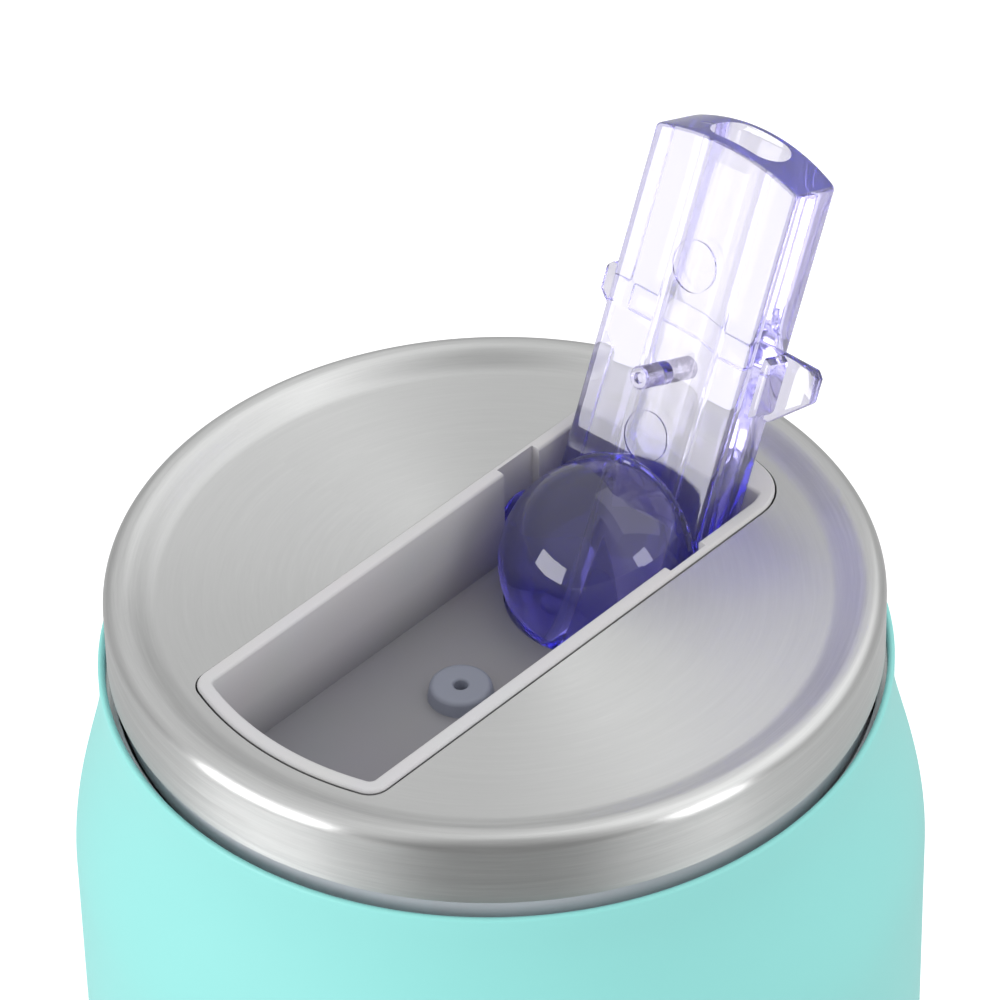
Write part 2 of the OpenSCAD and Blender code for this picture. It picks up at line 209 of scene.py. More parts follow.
# ---------------------------------------------------------------- materials
class Nodes:
    """A short way to write a material's nodes."""

    def __init__(self, name):
        self.material = bpy.data.materials.new(name)
        self.material.use_nodes = True
        self.tree = self.material.node_tree
        self.shader = self.tree.nodes["Principled BSDF"]
        self.out = self.tree.nodes["Material Output"]

    def add(self, kind, values=None, **settings):
        node = self.tree.nodes.new(kind)
        for key, value in settings.items():
            setattr(node, key, value)
        for key, value in (values or {}).items():
            node.inputs[key].default_value = value
        return node

    def join(self, a, a_out, b, b_in):
        self.tree.links.new(a.outputs[a_out], b.inputs[b_in])

    def set(self, **values):
        for key, value in values.items():
            self.shader.inputs[key.replace("_", " ")].default_value = value

    def noise(self, scale, detail):
        """Noise on the object's own coordinates, which are in metres."""
        coords = self.add("ShaderNodeTexCoord")
        texture = self.add("ShaderNodeTexNoise", {"Scale": scale, "Detail": detail})
        self.join(coords, "Object", texture, "Vector")
        return texture

    def spread(self, source, output, low, high, start=0.0, end=1.0):
        """Maps a value between start and end to one between low and high."""
        node = self.add(
            "ShaderNodeMapRange",
            {"From Min": start, "From Max": end, "To Min": low, "To Max": high},
        )
        self.join(source, output, node, "Value")
        return node

    def shades(self, source, output, first, second, start=0.3, end=0.7):
        """Blends two colours by a value."""
        ramp = self.add("ShaderNodeValToRGB")
        ramp.color_ramp.elements[0].position = start
        ramp.color_ramp.elements[0].color = (*first, 1)
        ramp.color_ramp.elements[1].position = end
        ramp.color_ramp.elements[1].color = (*second, 1)
        self.join(source, output, ramp, "Fac")
        return ramp

    def bump(self, source, output, distance, strength):
        """Raises the surface by a value, up to the distance in metres."""
        node = self.add("ShaderNodeBump", {"Strength": strength, "Distance": distance})
        self.join(source, output, node, "Height")
        self.join(node, "Normal", self.shader, "Normal")


def scaled(colour, k):
    """A lighter or darker colour."""
    return tuple(min(1, c * k) for c in colour)


def moulded(name, colour, rough, grain=3600, depth=0.00001, specular=0.5, clear=0.0):
    """Moulded plastic, silicone or foam: faint mottling, fine grain and uneven gloss."""
    m = Nodes(name)
    broad = m.noise(90, 3)
    fine = m.noise(grain, 2)
    tint = m.shades(broad, "Fac", scaled(colour, 0.96), scaled(colour, 1.04))
    m.join(tint, "Color", m.shader, "Base Color")
    gloss = m.spread(broad, "Fac", rough * 0.88, rough * 1.12)
    m.join(gloss, "Result", m.shader, "Roughness")
    m.bump(fine, "Fac", depth, 0.35)
    m.set(Specular_IOR_Level=specular, Transmission_Weight=clear)
    return m.material


def tray_plastic_with_painted_shade(name, top, deep_grey_and_shade):
    """Satin moulded plastic that darkens towards the floor of the trough: partly darker plastic,
    partly painted shade of the deep trough.
    """
    m = Nodes(name)
    coords = m.add("ShaderNodeTexCoord")
    split = m.add("ShaderNodeSeparateXYZ")
    m.join(coords, "Object", split, "Vector")
    height = m.spread(split, "Z", 0, 1, FLOOR_Z * MM, LIP_Z * MM)
    # painted shade: the colour darkens from the lip down to the floor, partly a darker plastic and
    # partly the shade inside the deep trough
    tint = m.shades(height, "Result", deep_grey_and_shade, top, 0.0, 0.96)
    middle = tint.color_ramp.elements.new(0.45)
    towards_top = 0.72
    middle.color = (
        *[a * (1 - towards_top) + b * towards_top for a, b in zip(deep_grey_and_shade, top)],
        1,
    )
    broad = m.noise(140, 3)
    mottle = m.add("ShaderNodeMix", data_type="RGBA", blend_type="MULTIPLY")
    mottle.inputs["Factor"].default_value = 0.06
    m.tree.links.new(tint.outputs["Color"], mottle.inputs[6])
    m.tree.links.new(broad.outputs["Color"], mottle.inputs[7])
    m.tree.links.new(mottle.outputs[2], m.shader.inputs["Base Color"])
    gloss = m.spread(broad, "Fac", 0.36, 0.46)
    m.join(gloss, "Result", m.shader, "Roughness")
    m.bump(m.noise(3800, 2), "Fac", 0.000008, 0.3)
    m.set(Specular_IOR_Level=0.45)
    return m.material


def powder_coat(name, colour):
    """Fine satin powder coat with an orange-peel grain."""
    m = Nodes(name)
    peel = m.noise(2600, 3)
    broad = m.noise(25, 2)
    tint = m.shades(broad, "Fac", scaled(colour, 0.985), scaled(colour, 1.015))
    m.join(tint, "Color", m.shader, "Base Color")
    gloss = m.spread(peel, "Fac", 0.42, 0.5)
    m.join(gloss, "Result", m.shader, "Roughness")
    m.bump(peel, "Fac", 0.000012, 0.25)
    m.set(Specular_IOR_Level=0.4, Coat_Weight=0.12, Coat_Roughness=0.3)
    return m.material


def turned_steel(name, colour, rough, aniso, depth=0.000008):
    """Metal brushed in circles about the vertical axis, so it changes with radius and height."""
    m = Nodes(name)
    coords = m.add("ShaderNodeTexCoord")
    split = m.add("ShaderNodeSeparateXYZ")
    m.join(coords, "Object", split, "Vector")
    flat = m.add("ShaderNodeCombineXYZ")
    m.join(split, "X", flat, "X")
    m.join(split, "Y", flat, "Y")
    radius = m.add("ShaderNodeVectorMath", operation="LENGTH")
    m.join(flat, "Vector", radius, 0)
    angle = m.add("ShaderNodeMath", operation="ARCTAN2")
    m.join(split, "Y", angle, 0)
    m.join(split, "X", angle, 1)
    # a radian counts as 1.1 mm, so the noise changes slowly along a scratch
    turn = m.add("ShaderNodeMath", operation="MULTIPLY")
    m.join(angle, "Value", turn, 0)
    turn.inputs[1].default_value = 0.0011
    polar = m.add("ShaderNodeCombineXYZ")
    m.join(radius, "Value", polar, "X")
    m.join(turn, "Value", polar, "Y")
    m.join(split, "Z", polar, "Z")
    product = m.add("ShaderNodeMath", operation="MULTIPLY")
    for socket, scale in enumerate((4600, 1700)):
        texture = m.add("ShaderNodeTexNoise", {"Scale": scale, "Detail": 4.0, "Roughness": 0.65})
        m.join(polar, "Vector", texture, "Vector")
        m.join(texture, "Fac", product, socket)
    # the brushing is stronger on the rim and the side than on the flat face
    strength = m.spread(radius, "Value", 0.4, 1, RECESS_R * MM, (RECESS_R + 2) * MM)
    average = 0.26
    lines = m.add("ShaderNodeMix", data_type="FLOAT")
    lines.inputs["A"].default_value = average
    m.join(strength, "Result", lines, "Factor")
    m.join(product, "Value", lines, "B")
    tint = m.shades(lines, "Result", scaled(colour, 0.9), scaled(colour, 1.05), 0.12, 0.42)
    m.join(tint, "Color", m.shader, "Base Color")
    gloss = m.spread(lines, "Result", rough * 0.88, rough * 1.12, 0.1, 0.45)
    # the round of the rim is rubbed smoother than the rest
    outer = m.spread(radius, "Value", 0, 1, (COVER_R - 2.6) * MM, (COVER_R - 1.6) * MM)
    upper = m.spread(split, "Z", 0, 1, (RIM_Z - 1.9) * MM, (RIM_Z - 1.1) * MM)
    round_part = m.add("ShaderNodeMath", operation="MULTIPLY")
    m.join(outer, "Result", round_part, 0)
    m.join(upper, "Result", round_part, 1)
    rubbed = m.spread(round_part, "Value", 1, 0.8)
    roughness = m.add("ShaderNodeMath", operation="MULTIPLY")
    m.join(gloss, "Result", roughness, 0)
    m.join(rubbed, "Result", roughness, 1)
    m.join(roughness, "Value", m.shader, "Roughness")
    m.bump(lines, "Result", depth, 0.5)
    tangent = m.add("ShaderNodeTangent", direction_type="RADIAL", axis="Z")
    m.join(tangent, "Tangent", m.shader, "Tangent")
    m.set(Metallic=1.0, Anisotropic=aniso, Anisotropic_Rotation=0.25)
    return m.material


def clear_violet(name):
    """Clear tinted plastic that deepens with thickness. Painted shade makes its ball and end face
    deepest: their surface is tinted a deeper violet for light that has crossed more plastic.
    """
    m = Nodes(name)
    flow = m.noise(160, 2)
    gloss = m.spread(flow, "Fac", 0.0, 0.015)
    m.join(gloss, "Result", m.shader, "Roughness")
    m.bump(flow, "Fac", 0.00002, 0.12)

    # ball: 1 inside the ball's radius, fading to 0 up the stem
    coords = m.add("ShaderNodeTexCoord")
    hinge = (0, HINGE_Y * MM, HINGE_Z * MM)
    along = (0, math.sin(LEAN), math.cos(LEAN))
    from_ball = m.add("ShaderNodeVectorMath", operation="DISTANCE")
    from_ball.inputs[1].default_value = hinge
    m.join(coords, "Object", from_ball, 0)
    ball = m.spread(from_ball, "Value", 1, 0, 1.02 * BALL_R * MM, 1.5 * BALL_R * MM)

    # tip_shade: 1 where the surface faces along the stem and lies near its far end
    outward = m.add("ShaderNodeVectorMath", operation="DOT_PRODUCT")
    outward.inputs[1].default_value = along
    m.join(coords, "Normal", outward, 0)
    end_face = m.spread(outward, "Value", 0, 1, 0.72, 0.9)
    far = m.spread(from_ball, "Value", 0, 1, 34 * MM, 35 * MM)
    tip_shade = m.add("ShaderNodeMath", operation="MULTIPLY")
    m.join(end_face, "Result", tip_shade, 0)
    m.join(far, "Result", tip_shade, 1)

    # painted shade: the ball is tinted a deeper violet than the stem, and the end face deeper still,
    # for light that has crossed more plastic
    stem_or_ball = m.shades(ball, "Result", (0.68, 0.665, 0.72), (0.62, 0.60, 0.97), 0.0, 1.0)
    tint = m.add("ShaderNodeMix", data_type="RGBA")
    tint.inputs[7].default_value = (0.21, 0.205, 0.52, 1)
    m.join(tip_shade, "Value", tint, "Factor")
    m.tree.links.new(stem_or_ball.outputs["Color"], tint.inputs[6])
    m.tree.links.new(tint.outputs[2], m.shader.inputs["Base Color"])

    # painted shade: the end face passes less light than the rest and shows a deep violet, for light
    # that has come down the stem's length
    haze = m.add("ShaderNodeMath", operation="MULTIPLY")
    m.join(tip_shade, "Value", haze, 0)
    haze.inputs[1].default_value = 0.40
    clear = m.spread(ball, "Result", 0.97, 0.985)
    see_through = m.add("ShaderNodeMath", operation="SUBTRACT")
    m.join(clear, "Result", see_through, 0)
    m.join(haze, "Value", see_through, 1)
    m.join(see_through, "Value", m.shader, "Transmission Weight")
    m.set(IOR=1.49, Coat_Weight=0.5, Coat_IOR=1.8, Coat_Roughness=0.02)

    depth = m.add(
        "ShaderNodeVolumeAbsorption", {"Color": (0.26, 0.21, 0.80, 1), "Density": 52.0}
    )
    m.join(depth, "Volume", m.out, "Volume")
    return m.material


STEEL = (0.69, 0.695, 0.69)
MINT = powder_coat("mint_powder_coat", (0.33, 0.83, 0.79))
COVER_STEEL = turned_steel("turned_cover_steel", STEEL, 0.40, 0.85)
LINER_STEEL = turned_steel("liner_steel", scaled(STEEL, 0.95), 0.24, 0.4)
# the trough's grey darkens towards its floor, partly darker plastic and partly painted shade
TRAY_GREY_PAINTED_SHADE = tray_plastic_with_painted_shade("tray_grey_painted_shade", (0.70, 0.69, 0.705), (0.305, 0.30, 0.325))
CORE_GREY = moulded("core_grey", (0.60, 0.60, 0.645), 0.36)
SEAL_GREY = moulded("seal_silicone", (0.37, 0.395, 0.485), 0.45, clear=0.25)
FOOT_MINT = moulded("foot_silicone", (0.30, 0.74, 0.70), 0.6)
FOAM = moulded("white_foam", (0.86, 0.86, 0.84), 0.95, grain=6000, depth=0.00015, specular=0.2)
FOIL = turned_steel("copper_foil", (0.78, 0.42, 0.27), 0.18, 0.2, depth=0.00002)
SOLDER = moulded("solder_glass", (0.13, 0.13, 0.14), 0.35)
STRAW = moulded("straw_plastic", (0.82, 0.83, 0.87), 0.25, clear=0.45)
# its ball and end face carry painted shade, a deeper violet than the stem
VIOLET = clear_violet("clear_violet_plastic")

NODE_LOOKS = {
    "base_plate": MINT,
    "base_cover": LINER_STEEL,
    "vacuum_seal": SOLDER,
    "getter": SOLDER,
    "foot_pad": FOOT_MINT,
    "inner_liner": LINER_STEEL,
    "heat_foil": FOIL,
    "lid_gasket": SEAL_GREY,
    "lid_core": CORE_GREY,
    "foam_insert": FOAM,
    "seat_seal": SEAL_GREY,
    "vent_valve": SEAL_GREY,
    "straw_sleeve": SEAL_GREY,
    "straw": STRAW,
}
for node_name, look in NODE_LOOKS.items():
    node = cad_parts[node_name]
    node.data.materials.clear()
    node.data.materials.append(look)


# ---------------------------------------------------------------- outer shell
def shell_profile():
    """Outside and inside of the shell, from the base roll to the rolled neck."""
    body_r, base_r, base_h, low, wall = 36.5, 32.8, 13.0, 2.0, 0.6
    neck_r, top = 33.5, SKIRT_Z - 1.1
    shoulder_top, shoulder_h = SKIRT_Z - 3.5, 18.5

    def side(inset):
        steps = 24
        points = []
        for i in range(steps + 1):
            a = math.radians(90 * (1 - i / steps))
            points.append(
                (
                    base_r + (body_r - base_r - inset) * math.cos(a),
                    low + base_h - (base_h - inset) * math.sin(a),
                )
            )
        for i in range(steps * 2 + 1):
            t = i / (steps * 2)
            blend = (1 - math.cos(math.pi * t)) / 2
            points.append(
                (body_r - inset - (body_r - neck_r) * blend, shoulder_top - shoulder_h * (1 - t))
            )
        points.append((neck_r - inset, top - wall / 2))
        return points

    rolled = arc(neck_r - wall / 2, top - wall / 2, wall / 2, 0, 180, 10)[1:-1]
    return side(0) + rolled + side(wall)[::-1]


shell = lathe("shell_mint", shell_profile())
finish_piece(shell, "vessel", MINT, "outer_shell")


# ---------------------------------------------------------------- lid cover
def slot_outline(half_w, end_r, near_corner, far_corner, far_cut=None):
    """Plan of the trough: straight sides and round ends that follow the lid, corners rounded.
    It runs anticlockwise from the near left corner, with the same number of points each time."""
    points = []
    for sign, corner in ((-1, near_corner), (1, far_corner)):
        # the corner's centre lies at corner from the side and from the round end
        cx = half_w - corner
        cy = math.sqrt((end_r - corner) ** 2 - cx**2)
        end_angle = math.degrees(math.atan2(cy, cx))
        sweep = arc(0, 0, end_r, 180 - end_angle, end_angle, 20)
        left = arc(-cx, cy, corner, 180, 180 - end_angle, 8)
        right = arc(cx, cy, corner, end_angle, 0, 8)
        half = left[:-1] + sweep + right[1:]
        if sign < 0:
            half = [(x, -y) for x, y in half]
        else:
            half = half[::-1]
        points.append(half)
    outline = points[0] + points[1]
    if far_cut is not None:
        outline = [(x, min(y, far_cut)) for x, y in outline]
    return outline


def cover_profile():
    """Skirt, rounded rim, slope and flat face of the lid's steel cover, with its underside."""
    thick = 0.5
    rim_round, rim_r = 1.2, COVER_R - 1.2
    slope_out, slope_steps = rim_r - 0.3, 20

    def face(t):
        points = [(COVER_R - t, SKIRT_Z + (0.12 if t == 0 else 0))]
        points += arc(rim_r, RIM_Z - rim_round, rim_round - t, 0, 90, 14)
        for i in range(slope_steps + 1):
            s = i / slope_steps
            drop = (RIM_Z - RECESS_Z) * (1 - math.cos(math.pi * s)) / 2
            points.append((slope_out - (slope_out - RECESS_R) * s, RIM_Z - t - drop))
        return points

    inner_r = 0.02
    top = face(0) + [(20, RECESS_Z), (10, RECESS_Z), (inner_r, RECESS_Z)]
    under = [(inner_r, RECESS_Z - thick), (10, RECESS_Z - thick), (20, RECESS_Z - thick)]
    edge = [(COVER_R - 0.1, SKIRT_Z)]
    return edge + top + under + face(thick)[::-1]


cover = lathe("cover_steel", cover_profile())
cover_slot = slot_outline(half_w=10.54, end_r=27.5, near_corner=2.0, far_corner=4.7)
slot_cut = prism("slot_cut", cover_slot, RECESS_Z - 2.8, RIM_Z + 2)
boolean(cover, slot_cut, "DIFFERENCE")
shade(cover, 30)
finish_piece(cover, "lid", COVER_STEEL, "lid_cover")


# ---------------------------------------------------------------- spout tray
def tray_rings():
    """Rings up the outside, over the lip, down the inside and across the floor."""
    outer_soft = 0.28
    inner_soft = 0.3
    steps = 6
    seam_r = 0.15
    seam_depth = 0.2
    seam_z = FLOOR_Z - 0.05

    def ring(grow, z):
        """The trough's plan, wider by grow than its inside, at a height."""
        near = max(0.5, NEAR_CORNER_R + min(0, grow - LIP_W))
        far = max(0.8, FAR_CORNER_R + min(0, grow - LIP_W))
        cut = FAR_EDGE_Y + grow if grow < LIP_W - 0.3 else None
        plan = slot_outline(TRAY_HALF_W + grow, TRAY_END_R + grow, near, far, cut)
        return [(x, y, z) for x, y in plan]

    quarter = [math.radians(90 * i / steps) for i in range(steps + 1)]
    half = [math.radians(180 + 180 * i / steps) for i in range(steps + 1)]
    lip_foot = RECESS_Z + 0.02
    rise = LIP_Z - RECESS_Z - 0.02
    rings = [ring(1.0, FLOOR_Z - TRAY_FLOOR_T), ring(1.0, RECESS_Z - 0.02), ring(LIP_W, lip_foot)]
    for a in quarter:
        rings.append(ring(LIP_W - outer_soft * (1 - math.cos(a)), lip_foot + rise * math.sin(a)))
    for a in quarter:
        rings.append(
            ring(inner_soft * (1 - math.sin(a)), LIP_Z - inner_soft * (1 - math.cos(a)))
        )
    rings.append(ring(0, LIP_Z - 1.6))
    rings.append(ring(0, FLOOR_Z + 1.6))
    rings.append(ring(0, seam_z))
    # a fine seam where the wall meets the floor
    for a in half:
        rings.append(ring(seam_r * math.cos(a) - seam_r, seam_z + seam_depth * math.sin(a)))
    rings.append(ring(-0.34, FLOOR_Z))
    return rings


def bearing_block(side):
    """The block beside the trough that holds a pin."""
    inner, outer = 9.6, 11.4
    near, far = 8.7, 17.7
    corners = [(inner, near), (outer, near), (outer, far), (inner, far)]
    plan = [(side * x, y) for x, y in corners][::side]
    return prism("bearing", plan, FLOOR_Z - TRAY_FLOOR_T, 178.2)


def pin_groove(side):
    """The open-topped groove that a pin drops into."""
    radius = 2.2
    above = RIM_Z + 2
    outline = arc(HINGE_Y, HINGE_Z, radius, 180, 360, 24)
    outline += [(HINGE_Y + radius, above), (HINGE_Y - radius, above)]
    ends = sorted((side * 9.0, side * 9.9))
    return rings_mesh("groove", [[(x, y, z) for y, z in outline] for x in ends], smooth=False)


POCKET_WALL_R = 9.8
POCKET_WALL_BASE = 158.5
POCKET_R = 8.4
POCKET_BASE = 159.9
PORT_R = 2.5
VENT_HOLE_R = 1.6

tray = rings_mesh("tray", tray_rings())
for side in (-1, 1):
    boolean(tray, bearing_block(side), "UNION")
pocket_wall = cylinder(
    "pocket_wall", HINGE_Y, POCKET_WALL_R, POCKET_WALL_BASE, FLOOR_Z - 0.1, 96
)
boolean(tray, pocket_wall, "UNION")
pocket = cylinder("pocket", HINGE_Y, POCKET_R, POCKET_BASE, FLOOR_Z + 0.6, 96)
boolean(tray, pocket, "DIFFERENCE")
port = cylinder("port", HINGE_Y, PORT_R, POCKET_WALL_BASE - 1.5, POCKET_BASE + 1.1)
boolean(tray, port, "DIFFERENCE")
vent_hole = cylinder("vent_hole", VENT_Y, VENT_HOLE_R, FLOOR_Z - 3.6, FLOOR_Z + 0.9)
boolean(tray, vent_hole, "DIFFERENCE")
for side in (-1, 1):
    boolean(tray, pin_groove(side), "DIFFERENCE")
shade(tray, 30)
finish_piece(tray, "lid", TRAY_GREY_PAINTED_SHADE, "spout_tray")

# ---------------------------------------------------------------- vent plug
plug_top = SKIRT_Z - 2.56
plug_bore = 0.6
plug_flange_r = 2.85
plug_profile = (
    [(plug_bore, FLOOR_Z - TRAY_FLOOR_T), (VENT_HOLE_R, FLOOR_Z - TRAY_FLOOR_T)]
    + [(VENT_HOLE_R, FLOOR_Z - 0.05), (plug_flange_r, FLOOR_Z - 0.05)]
    + arc(2.2, plug_top - 0.5, 0.5, 20, 90, 8)
    + [(1.15, plug_top - 0.02)]
    + arc(0.85, plug_top - 0.3, 0.26, 80, 170, 6)
)
plug = lathe("vent_plug_soft", plug_profile, (0, VENT_Y), 96)
finish_piece(plug, "lid", SEAL_GREY, "vent_plug")


# ---------------------------------------------------------------- spout
def rounded_box_outline(half_w, low, high, r, steps=6, across=0):
    """Rounded rectangle in (x, y), anticlockwise, with extra points across its long sides."""
    r = min(r, half_w - 0.01, (high - low) / 2 - 0.01)
    points = []
    for cx, cy, start in (
        (half_w - r, high - r, 0),
        (r - half_w, high - r, 90),
        (r - half_w, low + r, 180),
        (half_w - r, low + r, 270),
    ):
        points += arc(cx, cy, r, start, start + 90, steps)
        if start in (0, 180):
            x, y = points[-1]
            step = -2 * cx / (across + 1)
            points += [(x + step * (i + 1), y) for i in range(across)]
    return points


def tip_height(x, y):
    """The end face runs from a shallow arc at the front to a higher, rounder one at the back."""
    front = TIP_FRONT - TIP_FRONT_R + math.sqrt(TIP_FRONT_R**2 - x * x)
    back = TIP_BACK - TIP_BACK_R + math.sqrt(TIP_BACK_R**2 - x * x)
    return front + (back - front) * (y - STEM_FRONT) / (STEM_BACK - STEM_FRONT)


def stem_solid():
    """The flat stem with its rounded end face, standing upright on the hinge."""
    rings = []
    edge = 0.45
    soft = 0.3

    def section(d):
        """The stem's plan, smaller by d all round."""
        return rounded_box_outline(
            STEM_HALF_W - d, STEM_FRONT + d, STEM_BACK - d, edge, steps=4, across=28
        )

    for s in (0.0, 12.0, 24.0, 34.0):
        rings.append([(x, y, s) for x, y in section(0)])
    for i in range(7):
        a = math.radians(90 * i / 6)
        inner = section(soft * (1 - math.cos(a)))
        rings.append([(x, y, tip_height(x, y) - soft * (1 - math.sin(a))) for x, y in inner])
    for d in (0.8, 1.4, 2.0, 2.5, 2.79):
        rings.append([(x, y, tip_height(x, y)) for x, y in section(d)])
    return rings_mesh("stem", rings)


def channel_solid():
    """The drinking channel, which flares at the end face. Each pair is a height and a growth."""
    mid = (STEM_FRONT + STEM_BACK) / 2 + 0.1
    half_w = 3.7
    half_d = 1.7
    corner = 1.69
    rings = []
    for s, grow in ((-10, 0), (10, 0), (24, 0), (36.4, 0), (38.0, 0.08), (39.0, 0.3), (41.5, 0.8)):
        low = mid - half_d - grow
        high = mid + half_d + grow
        outline = rounded_box_outline(half_w + grow, low, high, corner + grow, steps=10)
        rings.append([(x, y, s) for x, y in outline])
    return rings_mesh("channel", rings)


def ball_solid():
    """The ball, cut flat level with the stem's back."""
    profile = arc(0, 0, BALL_R, -89.5, 89.5, 72)
    ball = lathe("ball", profile, around=128, closed=False)
    bm = bmesh.new()
    bm.from_mesh(ball.data)
    bmesh.ops.holes_fill(bm, edges=bm.edges)
    bmesh.ops.recalc_face_normals(bm, faces=bm.faces)
    bm.to_mesh(ball.data)
    bm.free()
    keep = prism("keep", rounded_box_outline(12, -12, STEM_BACK - 0.02, 0.5), -12, 12)
    boolean(ball, keep, "INTERSECT")
    return ball


def tab_solid():
    """Finger tabs and the bar that joins them across the stem's back."""
    outline = [
        (8.2, 16.0), (11.9, 19.5), (11.9, 21.7), (11.3, 22.3),
        (-11.3, 22.3), (-11.9, 21.7), (-11.9, 19.5), (-8.2, 16.0),
    ]
    tab_depths = (STEM_BACK - 0.9, STEM_BACK + 0.02)
    rings = [[(x, y, s) for x, s in outline] for y in tab_depths]
    tab = rings_mesh("tab", rings, smooth=False)
    bevel(tab, 0.22)
    root = [
        (x * side, s)
        for side, order in ((1, 1), (-1, -1))
        for x, s in [(8.0, 16.6), (8.6, 17.2), (8.6, 21.9), (8.0, 22.2)][::order]
    ]
    brace_depths = (STEM_BACK - 3.4, STEM_BACK - 0.4)
    rings = [[(x, y, s) for x, s in root] for y in brace_depths]
    brace = rings_mesh("brace", rings, smooth=False)
    bevel(brace, 0.25)
    boolean(tab, brace, "UNION")
    bar_side = [(6.4, 19.5), (7.35, 19.8), (7.35, 22.0), (6.4, 22.3)]
    bar_half_w = 7.6
    rings = [[(x, y, s) for y, s in bar_side] for x in (-bar_half_w, bar_half_w)]
    bar = rings_mesh("bar", rings, smooth=False)
    bevel(bar, 0.2)
    boolean(tab, bar, "UNION")
    return tab


def collar_solid():
    """Raised fillet where the ball meets the stem's front."""
    centre_r = BALL_R - 0.05
    tube_r = 0.42
    reach = 60
    steps = 40
    rings = []
    for i in range(steps + 1):
        a = math.radians(reach * (2 * i / steps - 1))
        rings.append(
            [
                ((centre_r + u) * math.sin(a), STEM_FRONT + v, (centre_r + u) * math.cos(a))
                for u, v in arc(0, 0, tube_r, 0, 330, 11)
            ]
        )
    return rings_mesh("collar", rings)


def lying_cylinder(name, r, start, end, axis, height=0):
    """A round pin along X or Y with softened ends, at a height above the hinge."""
    soft = 0.15
    around = 48
    profile = [(r - soft, start), (r, start + soft), (r, end - soft), (r - soft, end)]
    rings = []
    for radius, along in profile:
        ring = []
        for u, v in arc(0, 0, radius, 0, 360 - 360 / around, around - 1):
            ring.append((along, u, v + height) if axis == "x" else (u, along, v + height))
        rings.append(ring)
    return rings_mesh(name, rings)


def ring_mark(height):
    """A fine ring pressed into the front of the stem."""
    inner, outer, above, depth = 2.2, 2.34, -1, 0.12
    profile = [(inner, above), (outer, above), (outer, depth), (inner, depth)]
    mark = lathe("mark", profile, around=72)
    mark.data.transform(Matrix.Rotation(math.radians(-90), 4, "X"))
    mark.data.transform(Matrix.Translation((0, STEM_FRONT * MM, height * MM)))
    return mark


PEG_HEIGHT = 17.6


spout = stem_solid()
boolean(spout, ball_solid(), "UNION")
boolean(spout, collar_solid(), "UNION")
boolean(spout, tab_solid(), "UNION")
boolean(spout, lying_cylinder("pins", PIN_R, -PIN_REACH, PIN_REACH, "x"), "UNION")
boolean(spout, lying_cylinder("peg", 1.0, -2.17, 2.0, "y", PEG_HEIGHT), "UNION")
boolean(spout, lying_cylinder("peg_dimple", 0.5, -3.0, -1.9, "y", PEG_HEIGHT), "DIFFERENCE")
boolean(spout, channel_solid(), "DIFFERENCE")
for mark_height in (11.6, 27.5):
    boolean(spout, ring_mark(mark_height), "DIFFERENCE")
spout.data.transform(Matrix.Rotation(-LEAN, 4, "X"))
spout.data.transform(Matrix.Translation((0, HINGE_Y * MM, HINGE_Z * MM)))
spout.name = "spout_clear"
shade(spout, 28)
finish_piece(spout, "spout", VIOLET, "spout")


# ---------------------------------------------------------------- floor, light and camera
def dark_side(tree, coords, output):
    """How much a reflected ray is dimmed: 0 in the light, half towards the studio's unlit side.
    The value follows only the compass direction from the object."""
    level = tree.nodes.new("ShaderNodeVectorMath")
    level.operation = "MULTIPLY"
    level.inputs[1].default_value = (1, 1, 0)
    unit = tree.nodes.new("ShaderNodeVectorMath")
    unit.operation = "NORMALIZE"
    facing = tree.nodes.new("ShaderNodeVectorMath")
    facing.operation = "DOT_PRODUCT"
    facing.inputs[1].default_value = (math.sin(DARK_SIDE), -math.cos(DARK_SIDE), 0)
    fade = tree.nodes.new("ShaderNodeMapRange")
    fade.interpolation_type = "SMOOTHSTEP"
    fade.inputs["From Min"].default_value = math.cos(math.radians(38))
    fade.inputs["From Max"].default_value = math.cos(math.radians(12))
    fade.inputs["To Max"].default_value = 0.5
    rays = tree.nodes.new("ShaderNodeLightPath")
    only = tree.nodes.new("ShaderNodeMath")
    only.operation = "MULTIPLY"
    tree.links.new(coords.outputs[output], level.inputs[0])
    tree.links.new(level.outputs["Vector"], unit.inputs[0])
    tree.links.new(unit.outputs["Vector"], facing.inputs[0])
    tree.links.new(facing.outputs["Value"], fade.inputs["Value"])
    tree.links.new(fade.outputs["Result"], only.inputs[0])
    tree.links.new(rays.outputs["Is Glossy Ray"], only.inputs[1])
    return only


